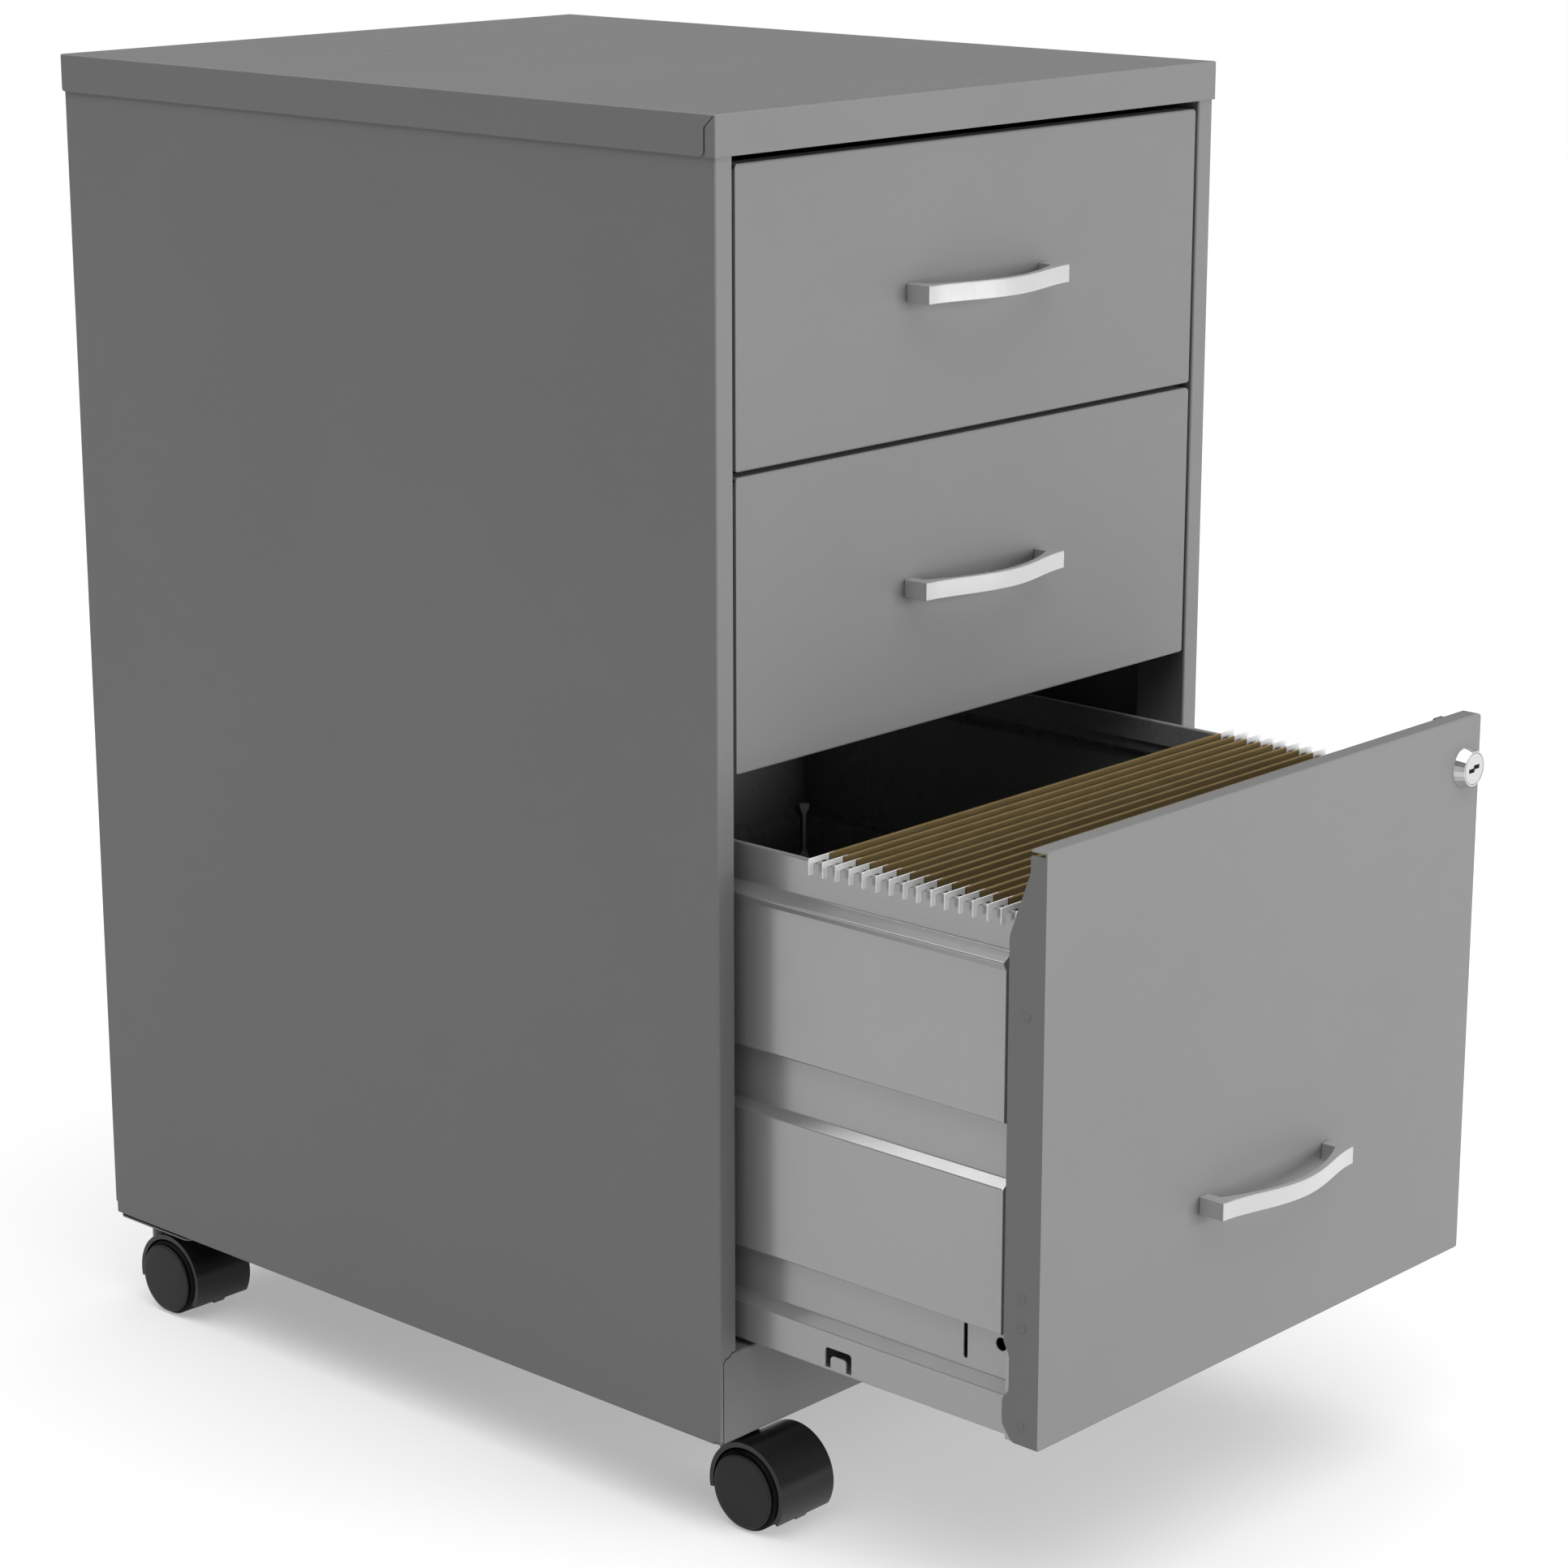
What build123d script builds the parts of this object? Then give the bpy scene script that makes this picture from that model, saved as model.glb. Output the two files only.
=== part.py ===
from build123d import *
import os
from math import pi, radians, sin

# A three-drawer steel pedestal filing cabinet on twin-wheel casters: two box drawers
# over one letter-size file drawer with a lock. Millimetres. +X is the right-hand side
# seen from the front, the drawers open towards -Y, +Z is up. The origin is on the floor
# under the middle of the cabinet. The file drawer stands partly open, the others shut.

# ---- driving dimensions -------------------------------------------------------------
lid_width = 362.0
lid_depth = 457.2
total_height = 673.1
caster_height = 48.3
lid_skirt = 18.7
sheet = 1.0                 # carcass sheet and drawer fronts
thin_sheet = 0.8            # drawer bodies
bend = 1.2                  # outer radius of a folded edge

half_width = lid_width / 2 - sheet      # outer face of the side panels
half_depth = lid_depth / 2 - sheet      # outer face of the front posts
lid_underside = total_height - sheet
post_width = 11.2
post_return = 30.0
opening = half_width - post_width       # half the clear width between the posts
kick_height = 45.0

front_width = 333.5
front_recess = 0.6                      # drawer fronts sit this far behind the posts
front_depth = 20.0                      # side flanges of a drawer front
front_lip = 9.0                         # top and bottom returns of a drawer front
face_y = -half_depth + front_recess     # outer face of a closed drawer front
file_open = 181.1                       # how far the file drawer stands out
file_face_y = face_y - file_open

top_front_z, middle_front_z, file_front_z = 513.6, 374.3, 96.2
box_front_height = 137.0
file_front_height = 276.6

rail_span = 156.4                       # drawer wall, half the letter-size rail spacing
rib_span = 161.0                        # outer face of the pressed-out panels
drawer_length = 436.3                   # from the face to the rear wall
file_back_y = file_face_y + drawer_length
box_back_y = face_y + drawer_length
file_rail_top = 339.2

handle_half = 51.4
handle_height = 8.7
handle_proud = 22.9
handle_end = 14.0
handle_screw = 48.0                     # screw distance from the middle

lock_x, lock_z = 155.3, 347.8
lock_stroke = 9.0
crank_radius = lock_stroke / 2 / sin(pi / 4)

wheel_radius = 20.3
caster_trail = 21.0
caster_places = {
    "front_left": (-145.0, -207.1),
    "front_right": (145.0, -207.1),
    "rear_left": (-160.0, 206.4),
    "rear_right": (160.0, 206.4),
}

os.makedirs("parts", exist_ok=True)


def save(piece, node):
    piece.part.label = node
    export_step(piece.part, f"parts/{node}.step")


def sheet_outline(points, radius, thickness, side):
    """A folded sheet seen end on: its outer face through the points, thickened inwards."""
    with BuildLine() as outline:
        FilletPolyline(*points, radius=radius)
        offset(amount=thickness, side=side)
    return outline.line


# ---- lid ----------------------------------------------------------------------------
# A shallow pan. Its front skirt turns a few millimetres round each front corner, and a
# seam that ends in a 45 degree cut parts it from the side skirt.
wrap = 6.0
seam = 1.1
skirt_round = 3.0
with BuildPart() as lid:
    with BuildSketch(Plane.XY.offset(total_height - lid_skirt)):
        Rectangle(lid_width, lid_depth)
    extrude(amount=lid_skirt)
    with BuildSketch(Plane.XY.offset(total_height - lid_skirt)):
        Rectangle(2 * half_width, 2 * half_depth)
    extrude(amount=lid_skirt - sheet, mode=Mode.SUBTRACT)
    upright = lid.edges().filter_by(Axis.Z).filter_by(lambda e: abs(e.center().X) > half_width + 0.5)
    fillet(upright, 0.9)
    fillet(lid.faces().sort_by(Axis.Z)[-1].edges(), 0.9)
    seam_y = -lid_depth / 2 + wrap
    for x in (-lid_width / 2, half_width):
        with BuildSketch(Plane.YZ.offset(x + sheet / 2)):
            with BuildLine():
                Polyline(
                    (seam_y, total_height - lid_skirt - 1),
                    (seam_y, total_height - wrap),
                    (seam_y - wrap + 0.8, total_height - 0.8),
                    (seam_y - wrap + 1.5, total_height - 0.8),
                    (seam_y + seam, total_height - wrap),
                    (seam_y + seam, total_height - lid_skirt - 1),
                    close=True,
                )
            make_face()
            # rounded lower corners of the side skirt
            skirt_low = total_height - lid_skirt
            for y, inward in ((seam_y + seam, 1), (lid_depth / 2, -1)):
                with BuildLine():
                    y_in = y + inward * skirt_round
                    Polyline((y_in, skirt_low), (y, skirt_low), (y, skirt_low + skirt_round))
                    RadiusArc((y_in, skirt_low), (y, skirt_low + skirt_round), inward * skirt_round)
                make_face()
        extrude(amount=sheet / 2, both=True, mode=Mode.SUBTRACT)
save(lid, "lid")


# ---- side panels --------------------------------------------------------------------
# One folded sheet each: front post with its return, side, rear flange, bottom flange.
kick_top = caster_height + kick_height
edge_return = 2.1                       # what is left of the post beside the kick plate


def foot_curve(level, gap):
    """S-shaped lower end of the left post, from the opening out to the edge return."""
    return FilletPolyline(
        (-opening + 1, level),
        (-opening - 3.2 + gap, level),
        (-opening - 5.0 + gap, level - 1.8),
        (-half_width + edge_return + gap, level - 1.8),
        (-half_width + edge_return + gap, level - 8),
        radius=[1.2, 1.2, 3.0],
    )


for name, x_sign in (("left", 1), ("right", -1)):
    with BuildPart() as side_panel:
        with BuildSketch(Plane.XY.offset(caster_height)):
            add(sheet_outline(
                [
                    (-opening, -half_depth + post_return),
                    (-opening, -half_depth),
                    (-half_width, -half_depth),
                    (-half_width, half_depth),
                    (-half_width + 20, half_depth),
                ],
                bend, sheet, Side.RIGHT,
            ))
            make_face()
        extrude(amount=lid_underside - caster_height)
        # the post stops above the kick plate, with a small relief notch at the corner
        with BuildSketch(Plane.XZ.offset(half_depth)):
            with BuildLine():
                foot_curve(kick_top + 0.6, 0)
                Polyline(
                    (-half_width + edge_return, kick_top - 7.4),
                    (-half_width + edge_return, caster_height),
                    (-opening + 1, caster_height),
                    (-opening + 1, kick_top + 0.6),
                )
            make_face()
        extrude(amount=post_return, both=True, mode=Mode.SUBTRACT)
        with BuildSketch(Plane.YZ.offset(-half_width)):
            with Locations((-half_depth + 2, caster_height)):
                Rectangle(4, 3)
            with Locations((half_depth, caster_height)):
                Rectangle(3.4, 12)
        extrude(amount=edge_return, mode=Mode.SUBTRACT)
        # bottom flange
        with BuildSketch(Plane.XY.offset(caster_height)):
            with Locations((-half_width + 8, 0)):
                Rectangle(16, 300)
        extrude(amount=sheet)
        if x_sign < 0:
            mirror(about=Plane.YZ, mode=Mode.REPLACE)
    save(side_panel, f"side_panel_{name}")


# ---- back panel ---------------------------------------------------------------------
with BuildPart() as back_panel:
    with BuildSketch(Plane.XZ.offset(-half_depth + sheet)):
        with Locations((0, (caster_height + lid_underside) / 2)):
            Rectangle(2 * (half_width - sheet) - 1, lid_underside - caster_height - 2)
    extrude(amount=sheet)
save(back_panel, "back_panel")


# ---- kick plate ---------------------------------------------------------------------
# The low front sheet. Its top edge folds back under the file drawer and its bottom edge
# folds back as the shelf that holds the front casters.
kick_half = half_width - sheet
with BuildPart() as kick_plate:
    with BuildSketch(Plane.YZ.offset(-kick_half)):
        add(sheet_outline(
            [
                (-half_depth + 26, kick_top),
                (-half_depth, kick_top),
                (-half_depth, caster_height),
                (-half_depth + 58, caster_height),
                (-half_depth + 58, caster_height + 12),
            ],
            bend, sheet, Side.LEFT,
        ))
        make_face()
    extrude(amount=2 * kick_half)
    # the corners follow the posts' feet, and the ends stand clear of the edge returns
    kick_end = -half_width + edge_return + 0.5
    kick_level = kick_top + 0.02            # clear of the top face, so that the cut is clean
    with BuildSketch(Plane.XZ.offset(half_depth)):
        with BuildLine():
            foot_curve(kick_level, 0.5)
            Polyline(
                (kick_end, kick_level - 8),
                (-kick_half - 1, kick_level - 8),
                (-kick_half - 1, kick_top + 1),
                (-opening + 1, kick_top + 1),
                (-opening + 1, kick_level),
            )
        make_face()
        mirror(about=Plane.YZ)
    extrude(amount=27, both=True, mode=Mode.SUBTRACT)
    with BuildSketch(Plane.XZ.offset(half_depth)):
        for x in (-1, 1):
            with Locations((x * (kick_end - kick_half) / 2, kick_top - kick_height / 2)):
                Rectangle(kick_half + kick_end, kick_height)
    extrude(amount=-bend - 0.05, mode=Mode.SUBTRACT)
    with Locations(*[(x, y, caster_height) for x, y in caster_places.values() if y < 0]):
        Hole(6.0, depth=20)
save(kick_plate, "kick_plate")


# ---- caster channels ----------------------------------------------------------------
front_shelf_z = caster_height + 14
with BuildPart() as front_caster_channel:
    with BuildSketch(Plane.YZ.offset(-kick_half + 4)):
        add(sheet_outline(
            [
                (-half_depth + 3, caster_height + sheet),
                (-half_depth + 3, front_shelf_z),
                (-half_depth + 54, front_shelf_z),
                (-half_depth + 54, caster_height + sheet),
            ],
            bend, sheet, Side.RIGHT,
        ))
        make_face()
    extrude(amount=2 * (kick_half - 4))
    with Locations(*[(x, y, front_shelf_z) for x, y in caster_places.values() if y < 0]):
        Hole(6.0, depth=5)
save(front_caster_channel, "front_caster_channel")

rear_channel_z = caster_height - 2.2
rear_channel_front = half_depth - 61.2
rear_channel_back = half_depth - 2.6
with BuildPart() as rear_caster_channel:
    with BuildSketch(Plane.XY.offset(rear_channel_z)):
        with Locations((0, (rear_channel_front + rear_channel_back) / 2)):
            RectangleRounded(2 * half_width - 1, rear_channel_back - rear_channel_front, 4)
    extrude(amount=sheet)
    for y in (rear_channel_front, rear_channel_back - sheet):
        with BuildSketch(Plane.XY.offset(rear_channel_z)):
            with Locations((0, y + sheet / 2)):
                Rectangle(2 * kick_half - 8, sheet)
        extrude(amount=16)
    with Locations(*[(x, y, rear_channel_z + sheet) for x, y in caster_places.values() if y > 0]):
        Hole(6.0, depth=5)
save(rear_caster_channel, "rear_caster_channel")


# ---- cross rail behind the middle front: stiffener and lock keeper -------------------
rail_low, rail_high = 376.3, 386.3
bolt_back = 16.5                        # bolt's middle, behind the drawer face
bolt_y_closed = face_y + bolt_back
with BuildPart() as cross_rail:
    with BuildSketch(Plane.YZ.offset(-opening)):
        add(sheet_outline(
            [
                (-185, rail_low),
                (-205, rail_low),
                (-205, rail_high),
                (-185, rail_high),
            ],
            bend, sheet, Side.RIGHT,
        ))
        make_face()
    extrude(amount=2 * opening)
    with BuildSketch(Plane.XY.offset(rail_low)):
        with Locations((lock_x, (-217 - 203) / 2)):
            Rectangle(20, 14)
        with Locations((lock_x, bolt_y_closed)):
            Rectangle(9, 4, mode=Mode.SUBTRACT)
    extrude(amount=sheet)
save(cross_rail, "cross_rail")


# ---- slide rails on the side panels ---------------------------------------------------
rail_half = 9.0
rail_reach = 15.5                       # how far a rail stands off the side panel
rail_front_y = -196.0
rail_length = 396.0
box_body_lift = 14.0                    # box drawer bodies start above the front's edge


def slide_height(body_z, mouth_low, mouth_high):
    """Middle of the rail that carries a drawer whose wall recess spans the mouth."""
    return body_z + mouth_high - 0.5 - (rail_half - sheet)


file_mouth = (19.0, 46.9)
box_mouth = (10.0, 34.0)
slide_z = {
    "top": slide_height(top_front_z + box_body_lift, *box_mouth),
    "middle": slide_height(middle_front_z + box_body_lift, *box_mouth),
    "file": slide_height(file_front_z, *file_mouth),
}
rail_root = half_width - sheet
for drawer, z in slide_z.items():
    for name, mirrored in (("left", False), ("right", True)):
        with BuildPart() as slide_rail:
            with BuildSketch(Plane.XZ.offset(-rail_front_y - rail_length)):
                add(sheet_outline(
                    [
                        (-rail_root + rail_reach, z + rail_half),
                        (-rail_root, z + rail_half),
                        (-rail_root, z - rail_half),
                        (-rail_root + rail_reach, z - rail_half),
                    ],
                    bend, sheet, Side.LEFT,
                ))
                make_face()
            extrude(amount=rail_length)
            if mirrored:
                mirror(about=Plane.YZ, mode=Mode.REPLACE)
        save(slide_rail, f"slide_rail_{drawer}_{name}")

# nylon blocks at the mouth of each rail: the drawer wall's recess runs on them
glide_length = 30.0
glide_nose = rail_span + 2.0
with BuildPart() as rail_glides:
    for z in slide_z.values():
        for x_sign in (-1, 1):
            with BuildSketch(Plane.XZ.offset(-rail_front_y - glide_length)):
                with Locations((x_sign * (rail_root - sheet + glide_nose) / 2, z)):
                    RectangleRounded(rail_root - sheet - glide_nose, 2 * (rail_half - sheet), 1.2)
            extrude(amount=glide_length)
save(rail_glides, "rail_glides")


# ---- fasteners and caster sockets -----------------------------------------------------
rivet_levels = [90 + 138 * i for i in range(5)]
with BuildPart() as carcass_rivets:
    for x in (-170.0, 170.0):
        for z in rivet_levels:
            with BuildSketch(Plane.XZ.offset(-half_depth)):
                with Locations((x, z)):
                    Circle(2.6)
            extrude(amount=-0.8, taper=30)
save(carcass_rivets, "carcass_rivets")

socket_bore = 4.05
socket_radius = 5.97                    # a hair under its hole of 6 mm
with BuildPart() as caster_sockets:
    for x, y in caster_places.values():
        base = caster_height if y < 0 else rear_channel_z
        with BuildSketch(Plane.XY.offset(base)):
            with Locations((x, y)):
                Circle(socket_radius)
        extrude(amount=13)
        with Locations((x, y, base + 13)):
            Hole(socket_bore, depth=13)
save(caster_sockets, "caster_sockets")


# ---- drawer fronts ----------------------------------------------------------------------
front_half = front_width / 2


def handle_bow(x_mid, y_face, z_mid):
    """Bow pull: a flat bar on two legs, swelling forwards in the middle."""
    with BuildPart() as bow:
        with BuildSketch(Plane.XY.offset(z_mid - handle_height / 2)):
            with BuildLine():
                front_end = (handle_half, y_face - handle_end)
                inner_corner = (handle_half - 6.3, y_face - 7.6)
                Spline(
                    (-handle_half, y_face - handle_end),
                    (-35, y_face - 16.4),
                    (0, y_face - handle_proud),
                    (35, y_face - 16.4),
                    front_end,
                    tangents=[(1, -0.02), (1, 0.02)],
                )
                Polyline(front_end, (handle_half, y_face), (inner_corner[0], y_face), inner_corner)
                Spline(
                    inner_corner,
                    (33, y_face - 13.0),
                    (0, y_face - 19.7),
                    (-33, y_face - 13.0),
                    (-inner_corner[0], inner_corner[1]),
                )
                Polyline(
                    (-inner_corner[0], inner_corner[1]),
                    (-inner_corner[0], y_face),
                    (-handle_half, y_face),
                    (-handle_half, y_face - handle_end),
                )
            make_face()
        extrude(amount=handle_height)
        fillet(bow.edges().filter_by(Plane.XY).sort_by(Axis.Y)[:1], 0.4)
        for x in (-handle_screw, handle_screw):
            with BuildSketch(Plane.XZ.offset(-y_face)):
                with Locations((x, z_mid)):
                    Circle(2.0)
            extrude(amount=10, mode=Mode.SUBTRACT)
    return bow


def handle_screws(y_face, z_mid):
    """The two screws that hold a pull from inside the drawer front."""
    with BuildPart() as screws:
        for x in (-handle_screw, handle_screw):
            with BuildSketch(Plane.XZ.offset(-y_face - sheet)):
                with Locations((x, z_mid)):
                    Circle(3.6)
            extrude(amount=-2.2)
            with BuildSketch(Plane.XZ.offset(-y_face - sheet)):
                with Locations((x, z_mid)):
                    Circle(1.97)
            extrude(amount=9)
    return screws


def front_face(y_face, z_low, height, handle_z):
    """Face sheet with its top and bottom returns and the handle screw holes."""
    with BuildPart() as face:
        with BuildSketch(Plane.YZ.offset(-front_half)):
            add(sheet_outline(
                [
                    (y_face + front_lip, z_low),
                    (y_face, z_low),
                    (y_face, z_low + height),
                    (y_face + front_lip, z_low + height),
                ],
                bend, sheet, Side.RIGHT,
            ))
            make_face()
        extrude(amount=front_width)
        with BuildSketch(Plane.XZ.offset(-y_face)):
            with Locations((0, z_low + height / 2)):
                RectangleRounded(front_width, height, 2.2)
        extrude(amount=-front_lip - 1, mode=Mode.INTERSECT)
        with BuildSketch(Plane.XY.offset(z_low)):
            lip_end_y = y_face + sheet + front_lip
            with Locations((-front_half, lip_end_y), (front_half, lip_end_y)):
                Rectangle(2.4, 2 * front_lip)
        extrude(amount=bend, mode=Mode.SUBTRACT)
        with BuildSketch(Plane.XZ.offset(-y_face)):
            with Locations((-handle_screw, handle_z), (handle_screw, handle_z)):
                Circle(2.2)
        extrude(amount=-sheet, mode=Mode.SUBTRACT)
    return face


def flange_pair(outline_points, outline_radii):
    """The two side flanges of a front, cut to the outline and closed along the face."""
    with BuildPart() as flanges:
        with BuildSketch(Plane.YZ.offset(-front_half)):
            with BuildLine():
                FilletPolyline(*outline_points, radius=outline_radii)
                Line(outline_points[-1], outline_points[0])
            make_face()
        extrude(amount=sheet)
        mirror(about=Plane.YZ)
    return flanges


flange_foot, flange_gap = 1.0, 2.5      # a flange ends this far from the front's edges


def box_drawer_front(z_low):
    y, z, top = face_y, z_low + flange_foot, z_low + box_front_height - flange_gap
    back = y + front_depth
    outline = [(y, z), (y + 17, z), (back, z + 6), (back, top - 8), (y + 12, top), (y, top)]
    with BuildPart() as front:
        add(front_face(y, z_low, box_front_height, z_low + box_front_height / 2))
        add(flange_pair(outline, [2, 3, 3, 3]))
    return front


# the file front: long side flanges, tapered at the top, relieved round the slide recess
y, z = file_face_y, file_front_z
file_flange_outline = [
    (y, z + flange_foot),
    (y + 14.6, z + flange_foot),
    (y + 20.4, z + 8.6),
    (y + 20.4, z + 20.5),
    (y + 16.7, z + 25.5),
    (y + 16.7, z + 41.6),
    (y + 20.0, z + 48.0),
    (y + 20.0, z + 236.0),
    (y + front_lip, z + 266.0),
    (y + front_lip, z + file_front_height - flange_gap),
    (y, z + file_front_height - flange_gap),
]
with BuildPart() as file_front:
    add(front_face(y, z, file_front_height, 180.6))
    add(flange_pair(file_flange_outline, [3, 5, 3, 3, 3, 3, 8, 4, 1]))
    with BuildSketch(Plane.XZ.offset(-y)):
        with Locations((lock_x, lock_z)):
            Circle(9.05)
    extrude(amount=-sheet, mode=Mode.SUBTRACT)
save(file_front, "file_front")


# ---- box drawer bodies --------------------------------------------------------------------
box_body_height = 100.0


def wall_outline(z, mouth, height):
    """Left wall of a box drawer from the top hem down to its bottom corner."""
    low, high = mouth
    return [
        (-rail_span + 3, z + height - 10),
        (-rail_span + 3, z + height),
        (-rail_span, z + height),
        (-rail_span, z + height - 10),
        (-rib_span, z + height - 14),
        (-rib_span, z + high),
        (-rail_span, z + high),
        (-rail_span, z + low + 5),
        (-rib_span, z + low),
        (-rib_span, z),
    ]


def box_tub(z):
    """Both walls and the bottom of a box drawer, folded from one sheet."""
    left = wall_outline(z, box_mouth, box_body_height)
    right = [(-x, height) for x, height in reversed(left)]
    with BuildPart() as tub:
        with BuildSketch(Plane.XZ.offset(-box_back_y)):
            add(sheet_outline(left + right, 0.9, thin_sheet, Side.LEFT))
            make_face()
        extrude(amount=drawer_length - sheet)
        # outward flanges that meet the side flanges of the front
        with BuildSketch(Plane.XZ.offset(-face_y - sheet - thin_sheet)):
            for x in (-1, 1):
                with Locations((x * (rail_span + front_half - sheet) / 2, z + box_body_height / 2)):
                    Rectangle(front_half - sheet - rail_span, box_body_height - 16)
        extrude(amount=thin_sheet)
    return tub


def rear_glides(y_back, z):
    """Nylon blocks on the drawer's rear corners that run inside the slide rails."""
    inner, outer = rail_span, rail_root - sheet - 1.0
    with BuildPart() as glides:
        for x_sign in (-1, 1):
            with BuildSketch(Plane.XZ.offset(-y_back + 2)):
                with Locations((x_sign * (inner + outer) / 2, z)):
                    Rectangle(outer - inner, 2 * (rail_half - sheet) - 1)
            extrude(amount=glide_length)
    return glides


for drawer, front_z in (("top", top_front_z), ("middle", middle_front_z)):
    body_z = front_z + box_body_lift
    handle_z = front_z + box_front_height / 2
    save(box_drawer_front(front_z), f"{drawer}_front")
    save(box_tub(body_z), f"{drawer}_tub")
    with BuildPart() as box_back:
        with BuildSketch(Plane.XZ.offset(-box_back_y)):
            with Locations((0, body_z + box_body_height / 2)):
                Rectangle(2 * rib_span, box_body_height - 2)
        extrude(amount=-thin_sheet)
    save(box_back, f"{drawer}_back")
    save(handle_bow(0, face_y, handle_z), f"{drawer}_handle")
    save(handle_screws(face_y, handle_z), f"{drawer}_handle_screws")
    save(rear_glides(box_back_y, slide_z[drawer]), f"{drawer}_glides")


# ---- file drawer body -----------------------------------------------------------------------
# Each wall is one pressed sheet. From the top: the hem that carries the hanging files, a
# sloping ledge, the upper panel, a flat band, the lower panel, the slide recess and the
# bottom band. The panels stop short of the front's flange.
z = file_front_z
stub_y = file_face_y + 26.3             # the pressed panels end here
joggle_y = file_face_y + 19.3           # the wall steps out to the flange here
file_wall_outline = [
    (-rail_span + 3, file_rail_top - 12),
    (-rail_span + 3, file_rail_top),
    (-rail_span, file_rail_top),
    (-rail_span, z + 225.2),
    (-rib_span - 2, z + 220.9),
    (-rib_span, z + 217.3),
    (-rib_span, z + 147.1),
    (-rail_span, z + 145.3),
    (-rail_span, z + 119.7),
    (-rib_span, z + 115.9),
    (-rib_span, z + file_mouth[1]),
    (-rail_span, z + file_mouth[1]),
    (-rail_span, z + file_mouth[0] + 5.1),
    (-rib_span, z + file_mouth[0]),
    (-rib_span, z),
    (-rib_span + 15, z),
]
flange_inner = front_half - sheet
for name, mirrored in (("left", False), ("right", True)):
    with BuildPart() as file_wall:
        with BuildSketch(Plane.XZ.offset(-file_back_y)):
            add(sheet_outline(file_wall_outline, 1.0, thin_sheet, Side.LEFT))
            make_face()
        extrude(amount=file_back_y - stub_y)
        # flat stub in front of the pressed panels, with the step that closes their ends
        wall_height = file_rail_top - 1 - z
        with BuildSketch(Plane.XZ.offset(-stub_y - thin_sheet)):
            with BuildLine():
                Polyline(
                    *file_wall_outline[3:15],
                    (-rail_span + thin_sheet, z),
                    (-rail_span + thin_sheet, z + 225.2),
                    close=True,
                )
            make_face()
        extrude(amount=thin_sheet)
        with BuildSketch(Plane.XY.offset(z + 1)):
            add(sheet_outline(
                [
                    (-rail_span, stub_y),
                    (-rail_span, joggle_y),
                    (-flange_inner, joggle_y),
                    (-flange_inner, file_face_y + sheet),
                ],
                0, thin_sheet, Side.LEFT,
            ))
            make_face()
        extrude(amount=wall_height)
        # keyhole features of the slide recess and the bottom band
        with BuildSketch(Plane.YZ.offset(-rib_span - 1)):
            with Locations((file_face_y + 29.6, z + 40.4)):
                Circle(3.2)
            with Locations((file_face_y + 50.4, z + 36.5)):
                SlotOverall(17.4, 2.4, rotation=90)
        extrude(amount=rib_span - rail_span + 2, mode=Mode.SUBTRACT)
        hook_y, hook_z, hook_half, hook_rise = file_face_y + 123.1, z - 0.2, 8.1, 11.8
        with BuildSketch(Plane.YZ.offset(-rib_span - 1)):
            tab_half, tab_rise = hook_half - 3.3, hook_rise - 3.8
            with BuildLine():
                FilletPolyline(
                    (hook_y - hook_half, hook_z + 1.8),
                    (hook_y - hook_half, hook_z + hook_rise),
                    (hook_y + hook_half, hook_z + hook_rise),
                    (hook_y + hook_half, hook_z + 1.8),
                    radius=1.8,
                )
                Line((hook_y + hook_half, hook_z + 1.8), (hook_y + tab_half, hook_z + 1.8))
                FilletPolyline(
                    (hook_y + tab_half, hook_z + 1.8),
                    (hook_y + tab_half, hook_z + tab_rise),
                    (hook_y - tab_half, hook_z + tab_rise),
                    (hook_y - tab_half, hook_z + 1.8),
                    radius=2.0,
                )
                Line((hook_y - tab_half, hook_z + 1.8), (hook_y - hook_half, hook_z + 1.8))
            make_face()
        extrude(amount=2.0, mode=Mode.SUBTRACT)
        for slot_y in (file_face_y + 237.3, file_face_y + 257.8):
            with BuildSketch(Plane.YZ.offset(-rail_span - 1)):
                with Locations((slot_y, z + 233.3)):
                    SlotOverall(6.5, 2.4, rotation=90)
            extrude(amount=2.2, mode=Mode.SUBTRACT)
        if mirrored:
            mirror(about=Plane.YZ, mode=Mode.REPLACE)
    save(file_wall, f"file_wall_{name}")

with BuildPart() as file_bottom:
    with BuildSketch(Plane.XY.offset(z + sheet)):
        bottom_front_y = file_face_y + 2 * sheet
        with Locations((0, (bottom_front_y + file_back_y) / 2)):
            Rectangle(2 * (rail_span - thin_sheet), file_back_y - bottom_front_y)
    extrude(amount=thin_sheet)
save(file_bottom, "file_bottom")

with BuildPart() as file_back:
    with BuildSketch(Plane.XZ.offset(-file_back_y)):
        with Locations((0, (z + file_rail_top - 1) / 2)):
            Rectangle(2 * rib_span, file_rail_top - 1 - z)
    extrude(amount=-thin_sheet)
    # pressed rib across the wall at the height of the flat band
    with BuildSketch(Plane.YZ.offset(-rail_span + 4)):
        with BuildLine():
            Polyline(
                (file_back_y, z + 115.9),
                (file_back_y - 4, z + 119.7),
                (file_back_y - 4, z + 145.3),
                (file_back_y, z + 149.1),
                close=True,
            )
        make_face()
    extrude(amount=2 * (rail_span - 4))
save(file_back, "file_back")

file_handle_z = 180.6
save(handle_bow(0, file_face_y, file_handle_z), "file_handle")
save(handle_screws(file_face_y, file_handle_z), "file_handle_screws")
save(rear_glides(file_back_y, slide_z["file"]), "file_glides")


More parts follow.
